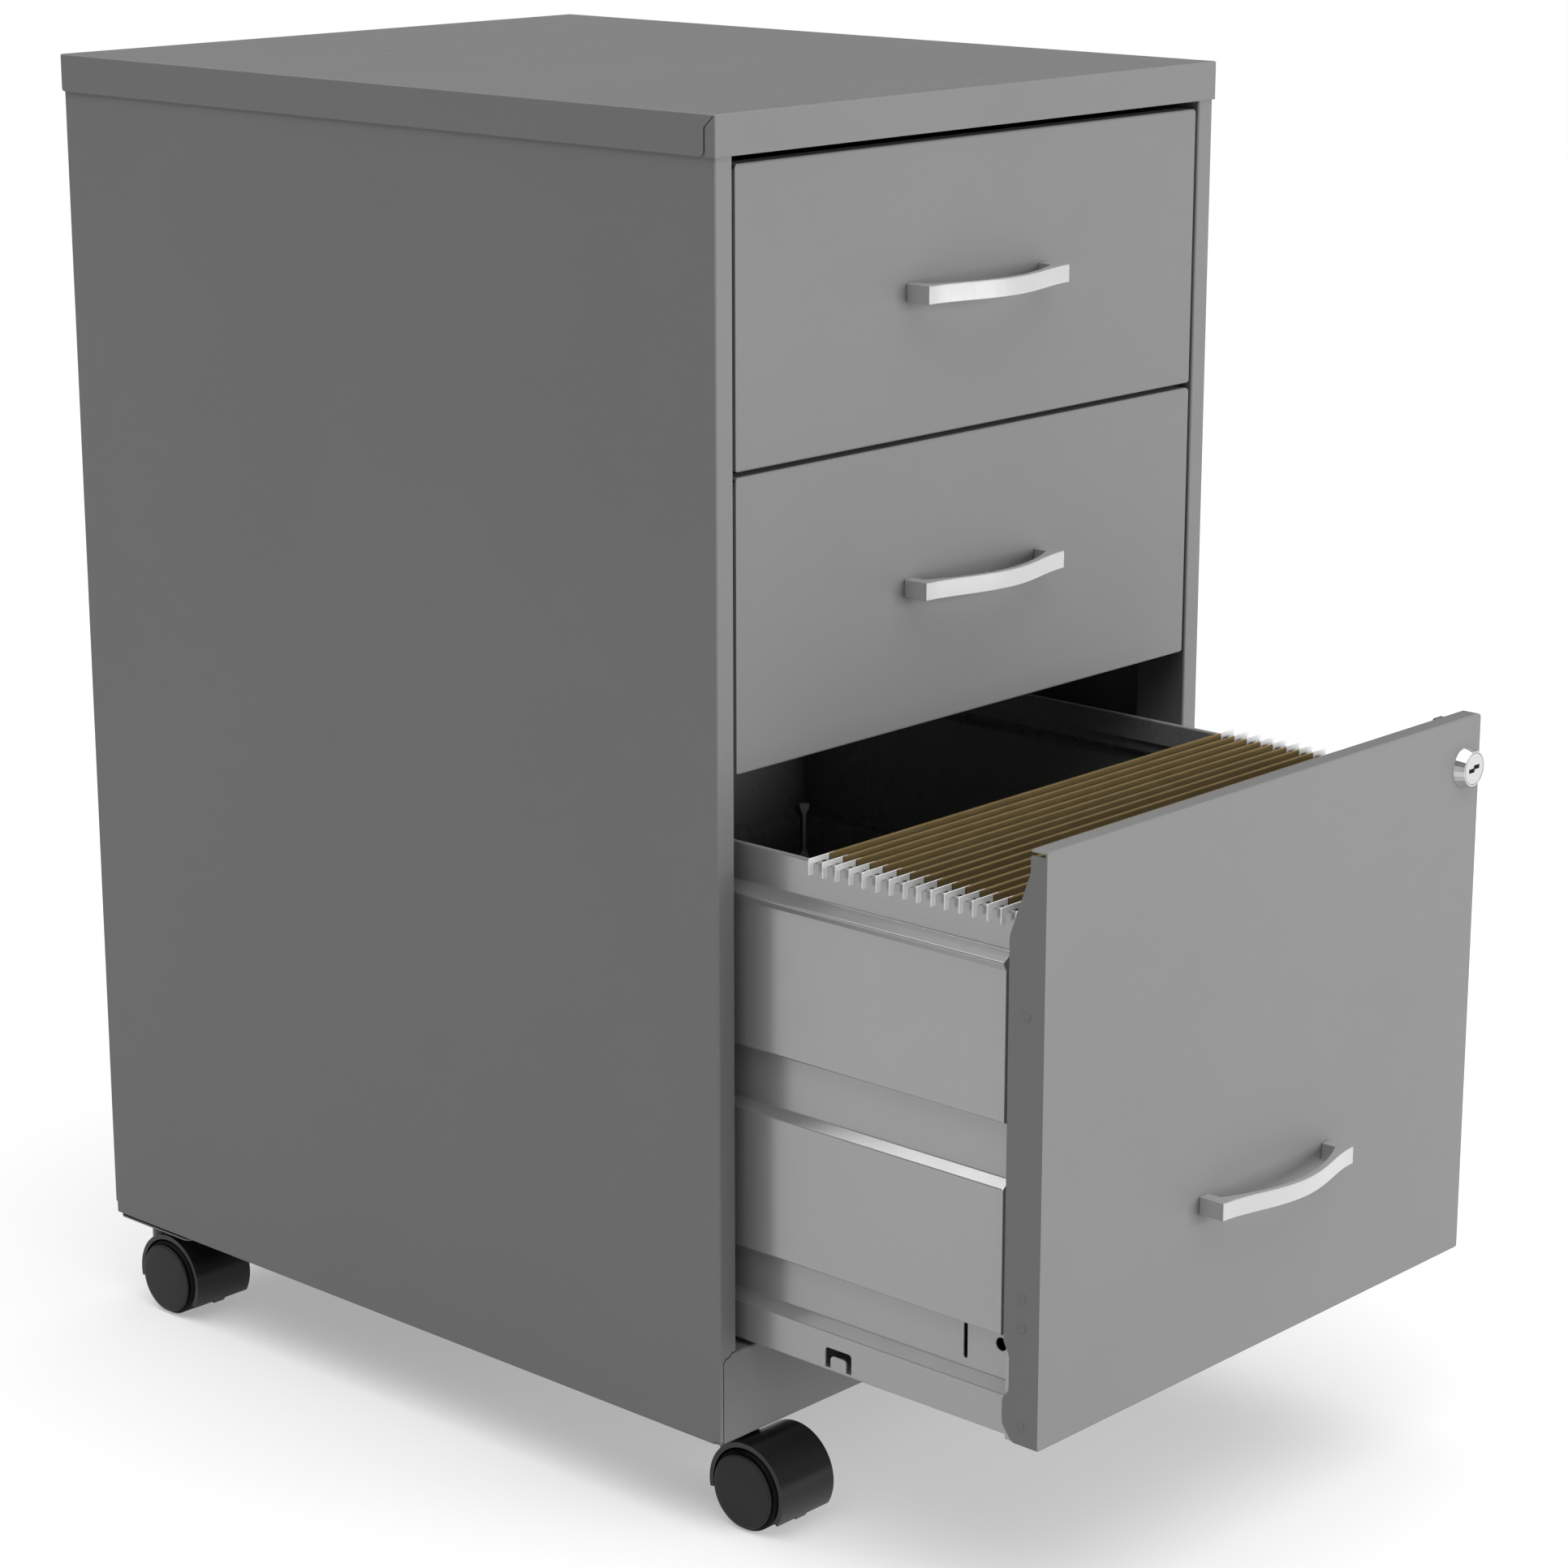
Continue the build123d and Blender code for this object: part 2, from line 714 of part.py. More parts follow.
# ---- lock ---------------------------------------------------------------------------------
# Turning the plug swings a crank pin from 45 degrees below to 45 degrees above the axis,
# and the pin lifts the bolt through the keeper of the cross rail when the drawer is shut.
plug_radius = 6.0
plug_bore = plug_radius + 0.05
bezel_radius = 10.5
bezel_proud = 4.9
housing_depth = 13.0
with BuildPart() as lock_housing:
    with BuildSketch(Plane.XZ.offset(-file_face_y)):
        with Locations((lock_x, lock_z)):
            RegularPolygon(bezel_radius, 24)
    extrude(amount=bezel_proud, taper=20)
    with BuildSketch(Plane.XZ.offset(-file_face_y)):
        with Locations((lock_x, lock_z)):
            Circle(9.0)
    extrude(amount=-housing_depth)
    with BuildSketch(Plane.XZ.offset(-file_face_y + bezel_proud)):
        with Locations((lock_x, lock_z)):
            Circle(plug_bore)
    extrude(amount=-housing_depth - bezel_proud, mode=Mode.SUBTRACT)
save(lock_housing, "lock_housing")

with BuildPart() as lock_nut:
    with BuildSketch(Plane.XZ.offset(-file_face_y - sheet)):
        with Locations((lock_x, lock_z)):
            Circle(10.0)
            Circle(9.02, mode=Mode.SUBTRACT)
    extrude(amount=-3)
save(lock_nut, "lock_nut")

cam_back = housing_depth + 1.4
crank_pin = 1.3
pin_x = lock_x - crank_radius * sin(pi / 4)
pin_z = lock_z - crank_radius * sin(pi / 4)
with BuildPart() as lock_plug:
    with BuildSketch(Plane.XZ.offset(-file_face_y + bezel_proud)):
        with Locations((lock_x, lock_z)):
            Circle(plug_radius)
    extrude(amount=-bezel_proud - housing_depth - 0.2)
    # stepped keyway
    with BuildSketch(Plane.XZ.offset(-file_face_y + bezel_proud)):
        with Locations((lock_x - 2.0, lock_z - 0.7)):
            Rectangle(4.8, 2.1)
        with Locations((lock_x + 2.0, lock_z + 0.7)):
            Rectangle(4.8, 2.1)
    extrude(amount=-9, mode=Mode.SUBTRACT)
save(lock_plug, "lock_plug")

with BuildPart() as lock_cam:
    with BuildSketch(Plane.XZ.offset(-file_face_y - housing_depth - 0.2)):
        with Locations((lock_x, lock_z)):
            Circle(8.2)
    extrude(amount=-1.2)
    with BuildSketch(Plane.XZ.offset(-file_face_y - cam_back)):
        with Locations((pin_x, pin_z)):
            Circle(crank_pin)
    extrude(amount=-3.1)
save(lock_cam, "lock_cam")

bolt_front = bolt_back - 1.0
bolt_thick = 2.0
bolt_low = lock_z - 9.9
bolt_shoulder = bolt_low + 24.0
bolt_tip = 369.7
with BuildPart() as lock_bolt:
    with BuildSketch(Plane.XZ.offset(-file_face_y - bolt_front)):
        with Locations((lock_x, (bolt_low + bolt_shoulder) / 2)):
            Rectangle(14.6, bolt_shoulder - bolt_low)
        with Locations((lock_x, (bolt_shoulder + bolt_tip) / 2 - 1)):
            Rectangle(7.0, bolt_tip - bolt_shoulder + 2)
        slot_middle = lock_x - crank_radius * (1 + sin(pi / 4)) / 2
        slot_length = crank_radius * (1 - sin(pi / 4)) + 2 * crank_pin + 0.8
        with Locations((slot_middle, pin_z)):
            SlotOverall(slot_length, 2 * crank_pin + 0.6, mode=Mode.SUBTRACT)
    extrude(amount=-bolt_thick)
save(lock_bolt, "lock_bolt")

guide_back = bolt_front + bolt_thick + 0.4
guide_half = front_half - sheet - lock_x    # the right leg stands against the flange
with BuildPart() as bolt_guide:
    with BuildSketch(Plane.XY.offset(lock_z + 5.2)):
        for side in (-1, 1):
            # leg, and lip that keeps the bolt straight
            leg_x = lock_x + side * (guide_half - sheet / 2)
            with Locations((leg_x, file_face_y + sheet + guide_back / 2)):
                Rectangle(sheet, guide_back)
            with Locations((lock_x + side * (8.1 + guide_half) / 2, file_face_y + guide_back - 1.2)):
                Rectangle(guide_half - 8.1, 2.4)
        with Locations((lock_x, file_face_y + guide_back + sheet / 2)):
            Rectangle(2 * guide_half, sheet)
        # foot of the left leg on the front sheet
        with Locations((lock_x - guide_half - 2.6, file_face_y + 1.5 * sheet)):
            Rectangle(6.4, sheet)
    extrude(amount=11)
save(bolt_guide, "bolt_guide")


# ---- hanging files ----------------------------------------------------------------------------
# Eight folders hang by hooked rods from the hems of the file drawer's walls.
folder_count = 8
folder_pitch = 16.05
folder_mouth = 9.5
folder_drop = 232.0
folder_half = 148.0
rod_top = file_rail_top + 1.8
first_rod_y = file_face_y + 142.2
card = 0.4
rod_places = [
    (first_rod_y - i * folder_pitch - side * folder_mouth, side)
    for i in range(folder_count)
    for side in (0, 1)
]
with BuildPart() as folder_cards:
    for rod_y, side in rod_places:
        middle = rod_y + folder_mouth / 2 if side else rod_y - folder_mouth / 2
        lean = card if side == 0 else -card
        with BuildSketch(Plane.YZ.offset(-folder_half)):
            with BuildLine():
                Polyline(
                    (rod_y, rod_top),
                    (rod_y + lean, rod_top),
                    (middle + lean, rod_top - folder_drop),
                    (middle, rod_top - folder_drop),
                    close=True,
                )
            make_face()
        extrude(amount=2 * folder_half)
save(folder_cards, "folder_cards")

with BuildPart() as folder_rods:
    for rod_y, side in rod_places:
        inner_y = rod_y - 0.6 if side == 0 else rod_y + 0.6
        with BuildSketch(Plane.XY.offset(rod_top - 7)):
            with Locations((0, inner_y)):
                Rectangle(2 * folder_half, 0.8)
        extrude(amount=6)
save(folder_rods, "folder_rods")

hook_reach = rail_span + 5.2
with BuildPart() as folder_hooks:
    for rod_y, side in rod_places:
        inner_y = rod_y - 0.6 if side == 0 else rod_y + 0.6
        for x_sign in (-1, 1):
            with BuildSketch(Plane.XZ.offset(-inner_y - 0.4)):
                with BuildLine():
                    Polyline(
                        (x_sign * folder_half, rod_top - 6),
                        (x_sign * (folder_half + 3.2), rod_top - 6),
                        (x_sign * (folder_half + 3.2), file_rail_top + 0.05),
                        (x_sign * (hook_reach - 3), file_rail_top + 0.05),
                        (x_sign * (hook_reach - 3), file_rail_top - 5.5),
                        (x_sign * hook_reach, file_rail_top - 5.5),
                        (x_sign * hook_reach, rod_top + 0.6),
                        (x_sign * folder_half, rod_top + 0.6),
                        close=True,
                    )
                make_face()
            extrude(amount=0.8)
save(folder_hooks, "folder_hooks")


# ---- casters ------------------------------------------------------------------------------------
# Each hooded caster trails forwards of its stem. The hood is a half drum over two wheels.
hood_inner, hood_outer, hood_half = 21.3, 23.8, 18.2
wheel_face, wheel_inner = 19.2, 4.0
axle_radius = 3.0
boss_top = 45.4
face_half = wheel_radius - 1.2
dome = 1.3
dome_radius = (face_half ** 2 + dome ** 2) / (2 * dome)


def dome_x(radius):
    """Distance of the domed wheel face from the caster's middle at a radius."""
    return wheel_face + dome - dome_radius + (dome_radius ** 2 - radius ** 2) ** 0.5


for place, (x, y) in caster_places.items():
    axle_y = y - caster_trail
    with BuildPart() as hood:
        with BuildSketch(Plane.YZ.offset(x - hood_half)):
            with Locations((axle_y, wheel_radius)):
                Circle(hood_outer)
                Circle(hood_inner, mode=Mode.SUBTRACT)
            with BuildLine():
                reach = 40
                Polyline(
                    (axle_y, wheel_radius),
                    (axle_y + reach, wheel_radius - reach * sin(radians(12))),
                    (axle_y + reach, wheel_radius - reach),
                    (axle_y - reach, wheel_radius - reach),
                    (axle_y - reach, wheel_radius - reach * sin(radians(38))),
                    close=True,
                )
            make_face(mode=Mode.SUBTRACT)
        extrude(amount=2 * hood_half)
        # web between the wheels
        with BuildSketch(Plane.YZ.offset(x - wheel_inner + 0.6)):
            with Locations((axle_y, wheel_radius)):
                Circle(hood_outer - 0.2)
            with Locations((axle_y, -4)):
                Rectangle(60, 20, mode=Mode.SUBTRACT)
        extrude(amount=2 * wheel_inner - 1.2)
        # boss round the stem, hollowed where the wheels turn
        with BuildSketch(Plane.XY.offset(wheel_radius - 6)):
            with Locations((x, y)):
                Circle(9.5)
        extrude(amount=boss_top - wheel_radius + 6)
        with BuildSketch(Plane.YZ.offset(x + wheel_inner - 0.6)):
            with Locations((axle_y, wheel_radius)):
                Circle(hood_inner)
        extrude(amount=hood_half, mode=Mode.SUBTRACT)
        with BuildSketch(Plane.YZ.offset(x - wheel_inner + 0.6)):
            with Locations((axle_y, wheel_radius)):
                Circle(hood_inner)
        extrude(amount=-hood_half, mode=Mode.SUBTRACT)
        # seats for the stem and the axle
        with BuildSketch(Plane.XY.offset(boss_top)):
            with Locations((x, y)):
                Circle(4.0)
        extrude(amount=-18, mode=Mode.SUBTRACT)
        with BuildSketch(Plane.YZ.offset(x - wheel_inner)):
            with Locations((axle_y, wheel_radius)):
                Circle(axle_radius)
        extrude(amount=2 * wheel_inner, mode=Mode.SUBTRACT)
    save(hood, f"caster_hood_{place}")

    with BuildPart() as pins:
        with BuildSketch(Plane.XY.offset(boss_top - 18)):
            with Locations((x, y)):
                Circle(3.98)
        extrude(amount=30)
        with BuildSketch(Plane.YZ.offset(x - wheel_face + 3)):
            with Locations((axle_y, wheel_radius)):
                Circle(axle_radius - 0.02)
        extrude(amount=2 * wheel_face - 6)
    save(pins, f"caster_pins_{place}")

    with BuildPart() as wheels:
        for side in (-1, 1):
            inner_x = x + side * wheel_inner
            bore_x = x + side * (wheel_face - 2.5)
            bore = axle_y + axle_radius + 0.05
            rim = axle_y + wheel_radius
            face_x = x + side * wheel_face
            with BuildSketch(Plane.XY.offset(wheel_radius)):
                with BuildLine():
                    Polyline(
                        (bore_x, axle_y),
                        (bore_x, bore),
                        (inner_x, bore),
                        (inner_x, rim - 0.8),
                        (inner_x + side * 0.8, rim),
                        (face_x - side * 1.2, rim),
                        (face_x, rim - 1.2),
                    )
                    ThreePointArc(
                        (face_x, rim - 1.2),
                        (x + side * dome_x(face_half / 2), axle_y + face_half / 2),
                        (x + side * dome_x(0), axle_y),
                    )
                    Line((x + side * dome_x(0), axle_y), (bore_x, axle_y))
                make_face()
            revolve(axis=Axis((x, axle_y, wheel_radius), (1, 0, 0)))
    save(wheels, f"caster_wheels_{place}")
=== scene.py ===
"""Looks of the steel pedestal filing cabinet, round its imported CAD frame. Metres, +Z up, fronts face -Y."""
import math
import random

import bmesh
import bpy
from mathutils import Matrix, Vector


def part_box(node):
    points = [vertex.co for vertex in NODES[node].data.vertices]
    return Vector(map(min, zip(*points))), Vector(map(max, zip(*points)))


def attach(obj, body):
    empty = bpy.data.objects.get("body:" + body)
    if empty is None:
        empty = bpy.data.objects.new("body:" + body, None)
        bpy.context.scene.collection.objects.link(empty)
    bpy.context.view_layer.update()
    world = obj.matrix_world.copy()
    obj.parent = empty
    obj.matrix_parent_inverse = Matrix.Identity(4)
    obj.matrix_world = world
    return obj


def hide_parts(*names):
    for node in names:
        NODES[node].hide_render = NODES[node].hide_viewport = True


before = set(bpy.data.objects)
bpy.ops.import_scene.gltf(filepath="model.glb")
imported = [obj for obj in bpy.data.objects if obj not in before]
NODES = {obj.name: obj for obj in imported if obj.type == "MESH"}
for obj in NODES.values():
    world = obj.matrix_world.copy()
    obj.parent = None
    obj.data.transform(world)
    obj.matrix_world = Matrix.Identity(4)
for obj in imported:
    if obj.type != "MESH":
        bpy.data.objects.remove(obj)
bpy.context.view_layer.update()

MM = 0.001
DRAWERS = ("top", "middle", "file")
SIDES = ("left", "right")
CASTERS = ("front_left", "front_right", "rear_left", "rear_right")


# ---- camera ---------------------------------------------------------------------------
def make_camera():
    """Looks at the cabinet's left side and fronts from a little above the lid."""
    place = Vector((-1.4494, -1.4327, 0.8460))
    yaw, pitch = math.radians(47.47), math.radians(15.12)
    data = bpy.data.cameras.new("camera")
    data.lens = 92.1
    data.sensor_width = 36.0
    camera = bpy.data.objects.new("camera", data)
    camera.location = place
    camera.rotation_euler = (math.pi / 2 - pitch, 0, -yaw)
    bpy.context.scene.collection.objects.link(camera)
    bpy.context.scene.camera = camera


# ---- studio ---------------------------------------------------------------------------
def area_light(name, place, target, size, watts):
    """A soft rectangular light at a place, turned to a target."""
    data = bpy.data.lights.new(name, "AREA")
    data.shape = "RECTANGLE"
    data.size, data.size_y = size
    data.energy = watts
    light = bpy.data.objects.new(name, data)
    light.location = place
    direction = Vector(target) - Vector(place)
    light.rotation_euler = direction.to_track_quat("-Z", "Y").to_euler()
    bpy.context.scene.collection.objects.link(light)
    return light


def make_studio():
    """A pale floor that runs out of sight, a wide light in front, a high one behind, and a glow overhead."""
    reach = 400.0
    mesh = bpy.data.meshes.new("floor")
    corners = [(-reach, -reach, 0), (reach, -reach, 0), (reach, reach, 0), (-reach, reach, 0)]
    mesh.from_pydata(corners, [], [(0, 1, 2, 3)])
    floor = bpy.data.objects.new("floor", mesh)
    bpy.context.scene.collection.objects.link(floor)
    floor.data.materials.append(plain_floor())
    key = area_light("key", place=(1.2, -4.2, 1.0), target=(0, -0.3, 0.3), size=(2.6, 1.9), watts=222)
    area_light("edge", place=(-0.75, 2.3, 3.1), target=(0, 0, 0.4), size=(2.0, 1.6), watts=34)
    key.visible_glossy = False
    make_ceiling_light()
    bpy.context.scene.view_settings.view_transform = "Standard"


def make_ceiling_light():
    """An even, wide glow overhead, leaning slightly to the front left, over a dim room."""
    world = bpy.data.worlds.new("room")
    world.use_nodes = True
    tree = world.node_tree
    direction = tree.nodes.new("ShaderNodeTexCoord").outputs["Generated"]
    lean = tree.nodes.new("ShaderNodeVectorMath")
    lean.operation = "DOT_PRODUCT"
    lean.inputs[1].default_value = Vector((-0.05, -0.10, 1.0)).normalized()
    tree.links.new(direction, lean.inputs[0])
    glow = tree.nodes.new("ShaderNodeMapRange")
    glow.interpolation_type = "SMOOTHSTEP"
    for name, value in {"From Min": 0.62, "From Max": 0.92, "To Min": 0.14, "To Max": 3.4}.items():
        glow.inputs[name].default_value = value
    tree.links.new(lean.outputs["Value"], glow.inputs["Value"])
    background = tree.nodes["Background"]
    background.inputs["Color"].default_value = (1, 1, 1, 1)
    tree.links.new(glow.outputs["Result"], background.inputs["Strength"])
    bpy.context.scene.world = world


# ---- materials ------------------------------------------------------------------------
class Nodes:
    """A material's node tree, with short calls for the nodes that repeat."""

    def __init__(self, name):
        self.material = bpy.data.materials.new(name)
        self.material.use_nodes = True
        self.tree = self.material.node_tree
        self.shader = self.tree.nodes["Principled BSDF"]
        self.place = self.add("ShaderNodeTexCoord").outputs["Object"]

    def add(self, kind, **values):
        node = self.tree.nodes.new(kind)
        for name, value in values.items():
            setattr(node, name, value)
        return node

    def link(self, source, target):
        self.tree.links.new(source, target)

    def noise(self, scale, detail=3.0, stretch=None):
        """Noise in the object's own metres; stretch scales its axes."""
        node = self.add("ShaderNodeTexNoise")
        node.inputs["Scale"].default_value = scale
        node.inputs["Detail"].default_value = detail
        if stretch:
            mapping = self.add("ShaderNodeMapping")
            mapping.inputs["Scale"].default_value = stretch
            self.link(self.place, mapping.inputs["Vector"])
            self.link(mapping.outputs["Vector"], node.inputs["Vector"])
        else:
            self.link(self.place, node.inputs["Vector"])
        return node.outputs["Fac"]

    def ramp(self, factor, low, high, start=0.3, end=0.7):
        """Maps a factor of start to end to a colour between low and high."""
        node = self.add("ShaderNodeValToRGB")
        for element, place, colour in zip(node.color_ramp.elements, (start, end), (low, high)):
            element.position = place
            element.color = (*colour, 1)
        self.link(factor, node.inputs["Fac"])
        return node.outputs["Color"]

    def between(self, factor, low, high):
        """Maps a factor of 0.3 to 0.7 to the values low to high."""
        node = self.add("ShaderNodeMapRange")
        for name, value in {"From Min": 0.3, "From Max": 0.7, "To Min": low, "To Max": high}.items():
            node.inputs[name].default_value = value
        self.link(factor, node.inputs["Value"])
        return node.outputs["Result"]

    def multiply(self, factor, first, second):
        """Darkens one colour by another, by a factor."""
        node = self.add("ShaderNodeMix", data_type="RGBA", blend_type="MULTIPLY")
        node.inputs["Factor"].default_value = factor
        self.link(first, node.inputs["A"])
        self.link(second, node.inputs["B"])
        return node.outputs["Result"]

    def bump(self, height, strength, distance, under=None):
        """Relief from a height; under is the relief that it lies on."""
        node = self.add("ShaderNodeBump")
        node.inputs["Strength"].default_value = strength
        node.inputs["Distance"].default_value = distance
        self.link(height, node.inputs["Height"])
        if under is not None:
            self.link(under, node.inputs["Normal"])
        return node.outputs["Normal"]

    def set(self, **values):
        """Sets the shader's sockets: a number or a colour stays on the socket, an output is linked."""
        for name, value in values.items():
            socket = self.shader.inputs[name.replace("_", " ")]
            if hasattr(value, "links"):
                self.link(value, socket)
            else:
                socket.default_value = value


def grey(value, warmth=0.0):
    return (value * (1 + warmth), value, value * (1 - warmth))


def plain_floor():
    """Matt white, with a faint glow that lightens the shadows."""
    n = Nodes("floor_white")
    n.set(
        Base_Color=n.ramp(n.noise(3.0), grey(0.44), grey(0.45)),
        Roughness=0.95,
        Specular_IOR_Level=0.0,
        Emission_Color=(1, 1, 1, 1),
        Emission_Strength=0.36,
    )
    return n.material


def powder_coat(name, value, roughness, metallic=0.0, peel_strength=0.08, sheen=0.5):
    """Satin powder coat: fine orange peel, a faint mottle and a metallic fleck."""
    warmth = 0.004
    n = Nodes(name)
    mottle = n.ramp(n.noise(9.0, 4.0), grey(value * 0.985, warmth), grey(value * 1.015, warmth))
    fleck = n.ramp(n.noise(2600.0, 1.0), grey(0.93), grey(1.0))
    n.set(
        Base_Color=n.multiply(0.5, mottle, fleck),
        Roughness=n.between(n.noise(60.0), roughness - 0.02, roughness + 0.02),
        Metallic=metallic,
        Specular_IOR_Level=sheen,
        Normal=n.bump(n.noise(700.0, 2.0), peel_strength, distance=0.04 * MM),
    )
    return n.material


def rolled_steel(name, value, roughness, along):
    """Bare or plated steel with fine rolling lines along one axis."""
    n = Nodes(name)
    stretch = tuple(0.02 if axis == along else 1.0 for axis in "xyz")
    lines = n.noise(1800.0, 2.0, stretch)
    n.set(
        Base_Color=n.ramp(n.noise(40.0), grey(value * 0.94), grey(value * 1.04)),
        Metallic=1.0,
        Roughness=n.between(lines, roughness - 0.05, roughness + 0.05),
        Normal=n.bump(lines, strength=0.1, distance=0.02 * MM),
    )
    return n.material


def satin_chrome(name, value, roughness, metallic=1.0):
    """Plated metal with a fine haze and soft waves across its length."""
    n = Nodes(name)
    haze = n.noise(900.0, 2.0, (1.0, 1.0, 0.05))
    waves = n.noise(95.0, 2.0, (1.0, 0.0, 0.0))
    haze_relief = n.bump(haze, strength=0.03, distance=0.01 * MM)
    n.set(
        Base_Color=n.ramp(n.noise(30.0), grey(value * 0.98), grey(value)),
        Metallic=metallic,
        Roughness=n.between(haze, roughness - 0.03, roughness + 0.03),
        Normal=n.bump(waves, strength=0.8, distance=0.6 * MM, under=haze_relief),
    )
    return n.material


def moulded_plastic(name, value, roughness, warmth=0.0, sheen=0.5):
    """Moulded plastic: a fine spark-eroded grain and slight flow marks."""
    n = Nodes(name)
    flow = n.noise(35.0, 2.0, (1.0, 1.0, 0.3))
    n.set(
        Base_Color=n.ramp(flow, grey(value * 0.92, warmth), grey(value * 1.08, warmth)),
        Roughness=n.between(flow, roughness - 0.03, roughness + 0.04),
        Specular_IOR_Level=sheen,
        Normal=n.bump(n.noise(1500.0, 2.0), strength=0.1, distance=0.04 * MM),
    )
    return n.material


def folder_card():
    """Olive-tan pressboard: long fibres, flecks and a soft tooth."""
    n = Nodes("folder_card")
    fibre = n.noise(240.0, 4.0, (0.25, 1.0, 1.0))
    base = n.ramp(fibre, (0.118, 0.083, 0.034), (0.145, 0.104, 0.045))
    speck = n.ramp(n.noise(1400.0, 2.0), grey(0.86), grey(1.0), 0.32, 0.5)
    n.set(
        Base_Color=n.multiply(0.6, base, speck),
        Roughness=0.85,
        Specular_IOR_Level=0.2,
        Normal=n.bump(fibre, strength=0.15, distance=0.08 * MM),
    )
    return n.material


CABINET = powder_coat("cabinet_paint", 0.138, roughness=0.46, sheen=0.2)
DRAWER = powder_coat("drawer_side_paint", 0.305, roughness=0.25, metallic=0.5, peel_strength=0.02)
# Painted light: a separate value for the drawers' inward faces, rear walls and bottom, tuned to how bright
# the shaded interior reads rather than to a paint of its own.
INTERIOR_SHADING = powder_coat("interior_painted_shading", 0.22, roughness=0.28)
RAIL = rolled_steel("rail_steel", 0.55, roughness=0.35, along="y")
FASTENER = rolled_steel("fastener_steel", 0.5, roughness=0.3, along="x")
PULL = satin_chrome("pull_metal", 0.44, roughness=0.22, metallic=0.55)
LOCK = satin_chrome("lock_metal", 0.52, roughness=0.16, metallic=0.8)
# Darker metal: painted shade for the dark groove line round the lock's face.
LOCK_RIM_SHADE = satin_chrome("lock_rim_painted_shade", 0.30, roughness=0.30)
# Near-white: a painted highlight for the lit inner rear corner of the file drawer.
CORNER_HIGHLIGHT = powder_coat("corner_painted_highlight", 0.85, roughness=0.25, metallic=0.2)
NYLON = moulded_plastic("glide_nylon", 0.75, roughness=0.45, warmth=0.03)
HOOD = moulded_plastic("caster_hood_plastic", 0.006, roughness=0.30, sheen=0.42)
WHEEL = moulded_plastic("caster_wheel_plastic", 0.002, roughness=0.6, sheen=0.1)
CAP = moulded_plastic("wheel_cap_plastic", 0.012, roughness=0.42, sheen=0.22)
CARD = folder_card()
HOOK = moulded_plastic("hook_coating", 0.60, roughness=0.4)


# ---- meshes ---------------------------------------------------------------------------
def solid(name, verts, faces):
    """A closed mesh with all its faces turned outwards."""
    mesh = bpy.data.meshes.new(name)
    mesh.from_pydata(verts, [], faces)
    outward(mesh)
    return mesh


def outward(mesh):
    """Turns all faces outwards."""
    bm = bmesh.new()
    bm.from_mesh(mesh)
    bmesh.ops.recalc_face_normals(bm, faces=bm.faces)
    bm.to_mesh(mesh)
    bm.free()


def joined(meshes, name):
    """One mesh from several."""
    bm = bmesh.new()
    for mesh in meshes:
        bm.from_mesh(mesh)
        bpy.data.meshes.remove(mesh)
    mesh = bpy.data.meshes.new(name)
    bm.to_mesh(mesh)
    bm.free()
    return mesh


def joined_copy(node):
    """The node's mesh with its flats joined into whole faces."""
    source = NODES[node].data
    mesh = bpy.data.meshes.new(node)
    mesh.from_pydata([v.co for v in source.vertices], [], [list(p.vertices) for p in source.polygons])
    bm = bmesh.new()
    bm.from_mesh(mesh)
    bmesh.ops.remove_doubles(bm, verts=bm.verts, dist=0.002 * MM)
    bmesh.ops.dissolve_limit(bm, angle_limit=math.radians(0.5), verts=bm.verts, edges=bm.edges)
    bm.to_mesh(mesh)
    bm.free()
    return mesh


def extruded(outline, low, high):
    """A solid from a closed outline of (x, y) points, between two heights."""
    count = len(outline)
    verts = [(x, y, z) for z in (low, high) for x, y in outline]
    sides = [(i, (i + 1) % count, (i + 1) % count + count, i + count) for i in range(count)]
    ends = [tuple(range(count))[::-1], tuple(range(count, 2 * count))]
    return solid("extruded", verts, sides + ends)


def upright(mesh, origin):
    """Turns an extruded solid so that its outline lies in x and z and its thickness along y, from origin."""
    for vertex in mesh.vertices:
        x, z, y = vertex.co
        vertex.co = Vector(origin) + Vector((x, y, z))
    outward(mesh)
    return mesh


def spokes(axis, segments):
    """The axis's direction, and even unit directions round it."""
    along = Vector(axis).normalized()
    across = along.orthogonal().normalized()
    other = along.cross(across)
    turns = [2 * math.pi * i / segments for i in range(segments)]
    return along, [across * math.cos(turn) + other * math.sin(turn) for turn in turns]


def spun(profile, centre, axis, segments):
    """A solid turned round an axis through centre; profile has (radius, distance along the axis)."""
    along, around = spokes(axis, segments)
    verts = [Vector(centre) + along * step + spoke * radius for radius, step in profile for spoke in around]
    faces = []
    for level in range(len(profile) - 1):
        for i in range(segments):
            a, b = level * segments + i, level * segments + (i + 1) % segments
            faces.append((a, b, b + segments, a + segments))
    last = (len(profile) - 1) * segments
    faces += [tuple(range(segments))[::-1], tuple(range(last, last + segments))]
    return solid("spun", verts, faces)


def ring(profile, centre, axis, segments):
    """A closed ring turned round an axis; profile is a closed loop of (radius, distance)."""
    along, around = spokes(axis, segments)
    verts = [Vector(centre) + along * step + spoke * radius for spoke in around for radius, step in profile]
    count = len(profile)
    faces = []
    for i in range(segments):
        for j in range(count):
            a, b = i * count + j, i * count + (j + 1) % count
            c, d = (i + 1) % segments * count + (j + 1) % count, (i + 1) % segments * count + j
            faces.append((a, b, c, d))
    return solid("ring", verts, faces)


# ---- pieces ---------------------------------------------------------------------------
def corners_of(node):
    """The low and the high corner of a CAD node's box."""
    return [Vector(corner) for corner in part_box(node)]


